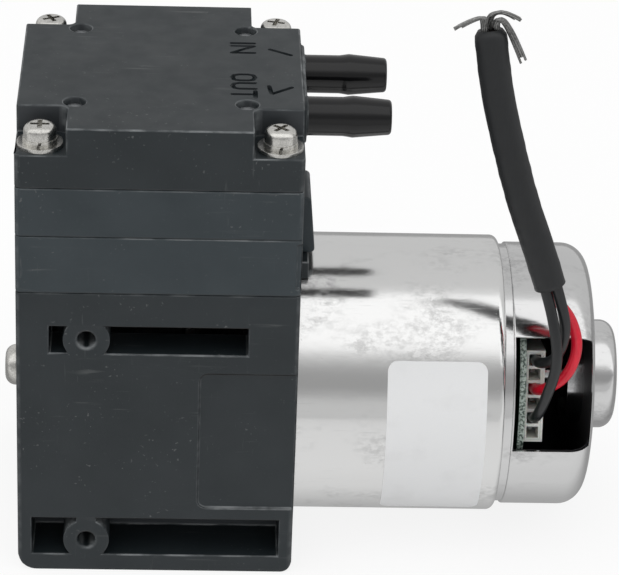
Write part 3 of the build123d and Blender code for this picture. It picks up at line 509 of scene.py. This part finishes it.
class Finish:
    """A node material under construction. A value is a number, a colour or another node's output."""

    def __init__(self, name, color, roughness, metallic=0.0, bevel=0.0):
        self.material = bpy.data.materials.new(name)
        self.material.use_nodes = True
        self.tree = self.material.node_tree
        self.surface = self.tree.nodes["Principled BSDF"]
        self.place = self.tree.nodes.new("ShaderNodeTexCoord").outputs["Object"]
        self.color, self.roughness, self.normal = color, roughness, None
        self.surface.inputs["Metallic"].default_value = metallic
        if bevel:
            rounded = self.node("Bevel", bevel, samples=6)
            self.normal = rounded.outputs["Normal"]

    def feed(self, socket, value):
        if isinstance(value, bpy.types.NodeSocket):
            self.tree.links.new(value, socket)
        elif hasattr(value, "__len__") and len(value) == 3 and len(socket.default_value) == 4:
            socket.default_value = (*value, 1.0)
        else:
            socket.default_value = value

    def node(self, kind, *values, **settings):
        made = self.tree.nodes.new("ShaderNode" + kind)
        for key, value in settings.items():
            setattr(made, key, value)
        for socket, value in zip(made.inputs, values):
            self.feed(socket, value)
        return made

    def math(self, operation, *values):
        return self.node("Math", *values, operation=operation).outputs[0]

    def mix(self, share, low, high):
        made = self.node("Mix", data_type="RGBA")
        for index, value in ((0, share), (6, low), (7, high)):
            self.feed(made.inputs[index], value)
        return made.outputs[2]

    def span(self, value, low, high, to_low=0.0, to_high=1.0):
        """value from low..high to to_low..to_high, held at the ends."""
        return self.node("MapRange", value, low, high, to_low, to_high).outputs[0]

    def noise(self, size, detail=3.0, stretch=(1, 1, 1), roughness=0.5, offset=0.0, distortion=0.0):
        """Noise whose lumps are about size millimetres across, longer along a stretched axis."""
        scale = [1 / (size * MM * s) for s in stretch]
        mapped = self.node("Mapping", self.place, (offset, offset * 0.7, offset * 0.3), (0, 0, 0), scale)
        made = self.node("TexNoise", mapped.outputs[0])
        made.inputs["Scale"].default_value = 1.0
        made.inputs["Detail"].default_value = detail
        made.inputs["Roughness"].default_value = roughness
        made.inputs["Distortion"].default_value = distortion
        return made.outputs["Fac"]

    def bump(self, height, depth, strength=1.0):
        """Adds relief depth millimetres deep."""
        made = self.node("Bump")
        made.inputs["Strength"].default_value = strength
        made.inputs["Distance"].default_value = depth * MM
        self.feed(made.inputs["Height"], height)
        if self.normal is not None:
            self.feed(made.inputs["Normal"], self.normal)
        self.normal = made.outputs["Normal"]

    def done(self, **sockets):
        self.feed(self.surface.inputs["Base Color"], self.color)
        self.feed(self.surface.inputs["Roughness"], self.roughness)
        if self.normal is not None:
            self.feed(self.surface.inputs["Normal"], self.normal)
        for name, value in sockets.items():
            self.surface.inputs[name.replace("_", " ")].default_value = value
        return self.material

    def xyz(self):
        return self.node("SeparateXYZ", self.place).outputs

    def from_axis(self):
        """Distance from the motor's axis."""
        _, y, z = self.xyz()
        up = self.math("SUBTRACT", z, axis_z)
        return self.length(y, up)

    def length(self, a, b):
        return self.math("SQRT", self.math("ADD", self.math("MULTIPLY", a, a), self.math("MULTIPLY", b, b)))


RECESS = 0.6 * MM


def moulded_black(name, tone=1.0, glossy_past=None):
    """Black moulded plastic: fine grain, faint clouding, scuffs and dust, a painted highlight on edges that
    face up, painted shade on edges that face down and painted fill light on the walls inside the side
    recesses. Past an X it is polished."""
    f = Finish(name, None, None)
    cloud = f.span(f.noise(9.0, 4.0), 0.3, 0.7)
    grain = f.noise(0.16, 2.0)
    scuff_a = f.span(f.noise(1.5, 5.0, (4.5, 0.5, 0.35), offset=3.1), 0.63, 0.74)
    scuff_b = f.span(f.noise(1.2, 5.0, (0.35, 0.5, 3.5), offset=7.7), 0.66, 0.76)
    patch = f.span(f.noise(14.0, 2.0, offset=1.3), 0.48, 0.62)
    scuffs = f.math("MULTIPLY", f.math("MAXIMUM", scuff_a, scuff_b), patch)
    clusters = f.span(f.noise(7.0, 3.0, offset=8.5), 0.50, 0.62, 0.10, 1.0)
    dust = f.math("MULTIPLY", f.span(f.noise(0.42, 1.0, offset=5.0), 0.70, 0.76), clusters)
    marks = f.math("ADD", f.math("MULTIPLY", scuffs, 0.45), f.math("MULTIPLY", dust, 0.6))
    marks = f.math("MINIMUM", marks, 1.0)
    low, high = (0.0100, 0.0145, 0.0170), (0.0145, 0.0195, 0.0225)
    body = f.mix(cloud, tuple(c * tone for c in low), tuple(c * tone for c in high))
    f.color = f.mix(marks, body, (0.10, 0.105, 0.105))
    facing = f.node("SeparateXYZ", f.node("NewGeometry").outputs["Normal"]).outputs
    aligned = f.math("ABSOLUTE", facing[2])
    for axis in (0, 1):
        aligned = f.math("MAXIMUM", aligned, f.math("ABSOLUTE", facing[axis]))
    edge = f.span(aligned, 0.88, 0.99, 1.0, 0.0)
    x, y, _ = f.xyz()
    # Painted fill light: walls inside the side recesses that face front or back get a lighter colour than
    # the plastic around them.
    painted_recess_fill = f.math("LESS_THAN", f.math("ABSOLUTE", y), -front_y - RECESS)
    painted_recess_fill = f.math("MULTIPLY", painted_recess_fill, f.math("LESS_THAN", x, face_x))
    painted_recess_fill = f.math("MULTIPLY", painted_recess_fill, f.math("GREATER_THAN", f.math("ABSOLUTE", facing[1]), 0.9))
    f.color = f.mix(painted_recess_fill, f.color, (0.030, 0.034, 0.038))
    if glossy_past is not None:
        edge = f.math("MULTIPLY", edge, f.math("LESS_THAN", x, glossy_past))
    # Painted highlight on the rounded edges, broken up with noise and strongest where they face up.
    ragged = f.span(f.noise(1.3, 5.0, (2.5, 2.5, 1.0), offset=4.4), 0.42, 0.62, 0.15, 0.9)
    painted_edge_highlight = f.math("MULTIPLY", edge, f.math("MULTIPLY", ragged, f.span(facing[2], 0.05, 0.5, 0.25, 1.0)))
    # Painted shade on the rounded edges that face down.
    shaded = f.math("MULTIPLY", edge, f.span(facing[2], -0.5, -0.1, 1.0, 0.0))
    f.color = f.mix(painted_edge_highlight, f.color, (0.15, 0.16, 0.165))
    f.color = f.mix(shaded, f.color, (0.001, 0.001, 0.0012))
    f.roughness = f.span(f.noise(3.0, 4.0, offset=2.0), 0.3, 0.7, 0.39, 0.50)
    if glossy_past is not None:
        polished = f.span(f.xyz()[0], glossy_past, glossy_past + 0.1 * MM)
        f.roughness = f.mix(polished, f.roughness, f.span(cloud, 0.3, 0.7, 0.09, 0.14))
        f.color = f.mix(polished, f.color, (0.004, 0.004, 0.0045))
    f.bump(f.noise(22.0, 2.0, offset=4.0), 0.3, 0.4)
    f.bump(grain, 0.012, 0.35)
    return f.done(Specular_IOR_Level=0.42)


def plated(name, color, smooth, dull, wave=0.02, shade_painted_on=None):
    """Bright plated sheet: slight waves, smudges where it was handled, specks and fine scratches. Faces
    that the optional mask picks get painted shade: flat, dark and not metallic.
    """
    f = Finish(name, None, None, metallic=1.0, bevel=0.12 * MM)
    patch = f.span(f.noise(6.5, 3.0, (1.6, 1, 1), offset=2.2), 0.50, 0.66)
    mottle = f.span(f.noise(0.75, 5.0, (1.5, 1, 1), roughness=0.65), 0.42, 0.62)
    smudge = f.math("MULTIPLY", patch, mottle)
    specks = f.span(f.noise(0.22, 1.0, offset=9.0), 0.74, 0.80)
    scratches = f.span(f.noise(0.30, 3.0, (14, 0.25, 0.25), offset=6.0), 0.66, 0.74)
    marks = f.math("MAXIMUM", smudge, f.math("MAXIMUM", specks, f.math("MULTIPLY", scratches, 0.6)))
    shade = tuple(c * 0.72 for c in color)
    f.color = f.mix(f.math("MULTIPLY", marks, 0.8), color, shade)
    f.roughness = f.span(marks, 0.0, 1.0, smooth, dull)
    f.bump(f.noise(13.0, 1.0, offset=1.0), wave, 1.0)
    f.bump(f.noise(1.7, 4.0, (1.6, 1, 1), offset=12.0), 0.014, 1.0)
    f.bump(marks, 0.006, 0.5)
    # Painted shade on the masked faces.
    if shade_painted_on is not None:
        painted_inner_shade = shade_painted_on(f)
        f.color = f.mix(painted_inner_shade, f.color, (0.016, 0.016, 0.018))
        f.roughness = f.mix(painted_inner_shade, f.roughness, (0.55, 0.55, 0.55))
        f.feed(f.surface.inputs["Metallic"], f.math("SUBTRACT", 1.0, painted_inner_shade))
    return f.done()


CAP_LENGTH = 38.05 * MM   # from the motor's mounting face to the cap's flat end
CAP_RADIUS = 17.13 * MM
CAP_ROUND = 3.2 * MM
CAP_SKIN = 0.35 * MM


def cap_inner_painted_shade(f):
    """1 on the inner faces of the rounded end cap, which get painted shade: a flat dark colour in place of
    the shadow inside the cap.
    """
    centre_x = face_x + CAP_LENGTH - CAP_ROUND
    centre_r = CAP_RADIUS - CAP_ROUND
    over_x = f.math("MAXIMUM", f.math("SUBTRACT", f.xyz()[0], centre_x), 0.0)
    over_r = f.math("MAXIMUM", f.math("SUBTRACT", f.from_axis(), centre_r), 0.0)
    return f.math("LESS_THAN", f.length(over_x, over_r), CAP_ROUND - CAP_SKIN)


def simple(name, color, roughness, metallic=0.0, grain=0.3, relief=0.008, spread=0.18, bevel=0.08,
           **sockets):
    """A plain finish with a grain of its own: colour and roughness vary a little with it."""
    f = Finish(name, None, None, metallic, bevel=bevel * MM)
    fine = f.noise(grain, 3.0)
    broad = f.noise(grain * 14, 3.0, offset=3.0)
    mixed = f.math("MULTIPLY", f.math("ADD", fine, broad), 0.5)
    low = tuple(c * (1 - spread) for c in color)
    high = tuple(min(1.0, c * (1 + spread)) for c in color)
    f.color = f.mix(f.span(mixed, 0.35, 0.65), low, high)
    f.roughness = f.span(broad, 0.3, 0.7, roughness * 0.85, min(1.0, roughness * 1.15))
    f.bump(fine, relief)
    return f.done(**sockets)


BARE_RIM = 0.08 * MM


def board_finish():
    """Green solder resist, with the pale speckled glass fibre bare at the rim."""
    f = Finish("board_finish", None, 0.4)
    rim = f.math("GREATER_THAN", f.from_axis(), (board_high[2] - board_low[2]) / 2 - BARE_RIM)
    fibre = f.mix(f.span(f.noise(0.28, 3.0), 0.42, 0.58), (0.035, 0.055, 0.045), (0.36, 0.42, 0.38))
    resist = f.mix(f.noise(2.0, 3.0), (0.010, 0.055, 0.030), (0.016, 0.085, 0.045))
    f.color = f.mix(rim, resist, fibre)
    f.bump(f.noise(0.3, 2.0), 0.02)
    return f.done()


def label_finish():
    """Blank coated label: faint fibre, a soft gloss and slightly soiled patches."""
    f = Finish("label_finish", None, None)
    fibre = f.noise(0.12, 3.0)
    soil = f.span(f.noise(5.0, 4.0, offset=8.0), 0.52, 0.75)
    paper = f.mix(fibre, (0.64, 0.645, 0.65), (0.695, 0.70, 0.705))
    f.color = f.mix(f.math("MULTIPLY", soil, 0.3), paper, (0.47, 0.47, 0.47))
    f.roughness = f.span(fibre, 0.3, 0.7, 0.34, 0.44)
    f.bump(fibre, 0.006, 0.4)
    f.bump(f.noise(4.0, 2.0, offset=2.0), 0.04, 0.5)
    return f.done()


def sleeve_finish(name, color, roughness, sheen):
    """Soft black tubing with faint lengthwise lines."""
    f = Finish(name, None, None)
    lines = f.noise(0.35, 2.0, (1, 1, 9))
    f.color = f.mix(lines, tuple(c * 0.8 for c in color), tuple(c * 1.35 for c in color))
    f.roughness = f.span(f.noise(1.4, 3.0), 0.3, 0.7, roughness * 0.88, roughness * 1.12)
    f.bump(lines, 0.03, 0.5)
    f.bump(f.noise(0.1, 2.0), 0.006, 0.5)
    return f.done(Sheen_Weight=sheen)


MATERIALS = {
    "housing_plastic": moulded_black("housing_finish"),
    "nickel": plated("nickel_finish", (0.80, 0.80, 0.795), 0.14, 0.28, 0.03),
    "zinc_steel": simple("zinc_finish", (0.66, 0.65, 0.62), 0.26, 1.0, 0.22, 0.02, 0.22, 0.10),
    "bearing_steel": simple("bearing_finish", (0.62, 0.62, 0.63), 0.16, 1.0, 0.3, 0.004),
    "cast_steel": simple("cast_finish", (0.45, 0.43, 0.41), 0.42, 1.0, 0.35, 0.03),
    "lamination": simple("lamination_finish", (0.26, 0.26, 0.28), 0.38, 1.0, 0.5, 0.03),
    "magnet": simple("magnet_finish", (0.10, 0.10, 0.11), 0.55, 0.3, 0.4, 0.02),
    "copper": simple("copper_finish", (0.62, 0.24, 0.10), 0.30, 1.0, 0.3, 0.06, 0.25),
    "insulator": simple("insulator_finish", (0.72, 0.71, 0.66), 0.45),
    "diaphragm_rubber": simple("diaphragm_finish", (0.018, 0.018, 0.019), 0.62, 0.0, 0.2, 0.015, 0.3),
    "valve_rubber": simple("valve_finish", (0.030, 0.029, 0.028), 0.58, 0.0, 0.2, 0.015, 0.3),
    "rod_plastic": simple("rod_finish", (0.045, 0.045, 0.048), 0.48, 0.0, 0.25, 0.02, 0.3),
    "aluminium": simple("aluminium_finish", (0.70, 0.70, 0.71), 0.28, 1.0, 0.2, 0.01),
    "board": board_finish(),
    "board_part": simple("board_part_finish", (0.020, 0.020, 0.021), 0.42, 0.0, 0.15, 0.01, 0.3),
    "connector_white": simple("connector_finish", (0.76, 0.76, 0.72), 0.40, 0.0, 0.4, 0.01, 0.08,
                              Subsurface_Weight=0.1, Subsurface_Scale=0.001),
    "tin": simple("tin_finish", (0.24, 0.24, 0.235), 0.30, 1.0, 0.25, 0.03, 0.6, 0.0),
    # The hole floors are the cover's black plastic in a much lighter colour: painted light reaching into
    # the blind holes.
    "hole_floor": simple("hole_floor_painted_light_finish", (0.10, 0.105, 0.11), 0.20, 0.0, 0.3, 0.01),
    "cage": simple("cage_finish", (0.40, 0.30, 0.14), 0.45),
    "wire_black": sleeve_finish("black_wire_finish", (0.010, 0.011, 0.012), 0.34, 0.0),
    "wire_red": sleeve_finish("red_wire_finish", (0.50, 0.006, 0.022), 0.32, 0.0),
    "sleeve": sleeve_finish("sleeve_finish", (0.0075, 0.0085, 0.0095), 0.52, 0.03),
    "paper": label_finish(),
}
NODE_MATERIALS = {
    "head_cover": moulded_black("cover_finish", glossy_past=face_x + 0.55 * MM),
    "valve_plate": moulded_black("plate_finish", 1.8),
    "diaphragm_housing": moulded_black("diaphragm_housing_finish", 1.9),
    "end_cap": plated("cap_finish", (0.70, 0.70, 0.70), 0.12, 0.28, 0.03, shade_painted_on=cap_inner_painted_shade),
}


def dress_nodes():
    """Every CAD node gets the finish of its slot, or its own."""
    for part in frame["record"]["subparts"]:
        node = part["node"]
        finish = NODE_MATERIALS.get(node, MATERIALS[part["material_slot"]])
        for slot in frame["nodes"][node].material_slots:
            slot.material = finish


def paint(piece, finish):
    """Gives a piece this finish alone."""
    piece.data.materials.clear()
    piece.data.materials.append(finish)


dress_nodes()
for block, node in zip(blocks + [cover], BLOCKS.values()):
    paint(block, NODE_MATERIALS.get(node, MATERIALS["housing_plastic"]))
paint(floors, MATERIALS["hole_floor"])
for name, wire in wires.items():
    paint(wire, MATERIALS["wire_red" if name == "red_wire" else "wire_black"])
    paint(strands[name], MATERIALS["tin"])
paint(sleeve, MATERIALS["sleeve"])

# Studio ----------------------------------------------------------------------------------------

BACKGROUND_SHARE = 0.85
# What metal mirrors: the floor's levels by its Y in metres, darker close to the object as a painted shadow
# that only reflections see, and the room's by the angle in degrees from the front horizon up and over to
# the back.
FLOOR_GLOW_WITH_PAINTED_SHADOW = [(-0.20, 0.63), (-0.140, 0.63), (-0.134, 0.50), (-0.126, 0.50), (-0.120, 0.74), (-0.06, 0.81),
            (-0.026, 0.83), (-0.017, 0.77), (-0.013, 0.64), (-0.009, 0.50), (-0.002, 0.36), (0.02, 0.36)]
STUDIO = [(0, 0.62), (3, 0.60), (8, 0.46), (14, 0.37), (24, 0.38), (31, 0.46), (36.5, 0.60), (41.5, 0.83),
          (46.6, 1.08), (53, 1.18), (93, 1.18), (97, 0.82), (104, 0.68), (180, 0.63)]


def level_ramp(nodes, links, value, stops):
    """Grey levels along a value, from (place, level) stops, as a share of their peak."""
    low, high = stops[0][0], stops[-1][0]
    spread = nodes.new("ShaderNodeMapRange")
    links.new(value, spread.inputs[0])
    spread.inputs[1].default_value = low
    spread.inputs[2].default_value = high
    ramp = nodes.new("ShaderNodeValToRGB")
    links.new(spread.outputs[0], ramp.inputs[0])
    elements = ramp.color_ramp.elements
    while len(elements) < len(stops):
        elements.new(0.5)
    peak = max(level for _, level in stops)
    for element, (place, level) in zip(elements, stops):
        element.position = (place - low) / (high - low)
        element.color = (level / peak, level / peak, level / peak, 1.0)
    return ramp.outputs[0], peak


FLOOR_HALF = 3.0
FLOOR_GAP = 0.02 * MM


def add_floor():
    """White floor that keeps the object's shadow. Metal mirrors it at levels of its own, with a painted
    shadow near the object.
    """
    corners = [(sx * FLOOR_HALF, sy * FLOOR_HALF, 0) for sx, sy in ((-1, -1), (1, -1), (1, 1), (-1, 1))]
    floor = linked("floor", mesh_of("floor", corners, [(0, 1, 2, 3)]))
    floor.location.z = cad_box[0][2] - FLOOR_GAP
    f = Finish("floor_finish", (0.88, 0.88, 0.88), 0.8)
    f.color = f.mix(f.noise(30.0), (0.87, 0.87, 0.87), (0.89, 0.89, 0.89))
    material = f.done(Specular_IOR_Level=0.0)
    ray = f.node("LightPath")
    mirrored = f.math("MAXIMUM", ray.outputs["Is Glossy Ray"], ray.outputs["Is Transmission Ray"])
    levels, peak = level_ramp(f.tree.nodes, f.tree.links, f.xyz()[1], FLOOR_GLOW_WITH_PAINTED_SHADOW)
    white = f.node("Emission", (1, 1, 1, 1), 1.0)
    seen = f.node("MixShader", f.math("MULTIPLY", ray.outputs["Is Camera Ray"], BACKGROUND_SHARE),
                  f.surface.outputs[0], white.outputs[0])
    glow = f.node("Emission", levels, peak)
    both = f.node("MixShader", mirrored, seen.outputs[0], glow.outputs[0])
    f.tree.links.new(both.outputs[0], f.tree.nodes["Material Output"].inputs["Surface"])
    paint(floor, material)


def add_world():
    """Soft room whose level changes with the angle over the X axis. The camera sees it white."""
    world = bpy.data.worlds.new("studio")
    bpy.context.scene.world = world
    world.use_nodes = True
    tree = world.node_tree
    nodes, links = tree.nodes, tree.links
    place = nodes.new("ShaderNodeTexCoord").outputs["Generated"]
    parts = nodes.new("ShaderNodeSeparateXYZ")
    links.new(place, parts.inputs[0])
    flip = nodes.new("ShaderNodeMath")
    flip.operation = "MULTIPLY"
    links.new(parts.outputs[1], flip.inputs[0])
    flip.inputs[1].default_value = -1.0
    angle = nodes.new("ShaderNodeMath")
    angle.operation = "ARCTAN2"
    links.new(parts.outputs[2], angle.inputs[0])
    links.new(flip.outputs[0], angle.inputs[1])
    turn = nodes.new("ShaderNodeMath")
    turn.operation = "DEGREES"
    links.new(angle.outputs[0], turn.inputs[0])
    levels, peak = level_ramp(nodes, links, turn.outputs[0], STUDIO)
    seen = nodes.new("ShaderNodeMix")
    seen.data_type = "RGBA"
    links.new(nodes.new("ShaderNodeLightPath").outputs["Is Camera Ray"], seen.inputs[0])
    links.new(levels, seen.inputs[6])
    seen.inputs[7].default_value = (1 / peak, 1 / peak, 1 / peak, 1.0)
    links.new(seen.outputs[2], nodes["Background"].inputs["Color"])
    nodes["Background"].inputs["Strength"].default_value = peak


def add_lamp(name, place, aim, size, power):
    """Soft lamp that lights but doesn't show as a shape in metal."""
    data = bpy.data.lights.new(name, "AREA")
    data.shape = "RECTANGLE"
    data.size, data.size_y = size
    data.energy = power
    lamp = linked(name, data)
    lamp.location = place
    lamp.rotation_mode = "QUATERNION"
    lamp.rotation_quaternion = (Vector(aim) - Vector(place)).to_track_quat("-Z", "Y")
    lamp.visible_glossy = False


LAMP_AIM = (0.02, 0.0, 0.03)
LAMPS = [
    ("overhead", (-0.10, -0.05, 0.60), (0.5, 0.4), 0.8),
    ("front", (0.06, -0.60, 0.13), (0.6, 0.3), 1.0),
]

add_floor()
add_world()
for name, place, size, power in LAMPS:
    add_lamp(name, place, LAMP_AIM, size, power)

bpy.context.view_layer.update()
scene = bpy.context.scene
scene.view_settings.view_transform = "Standard"
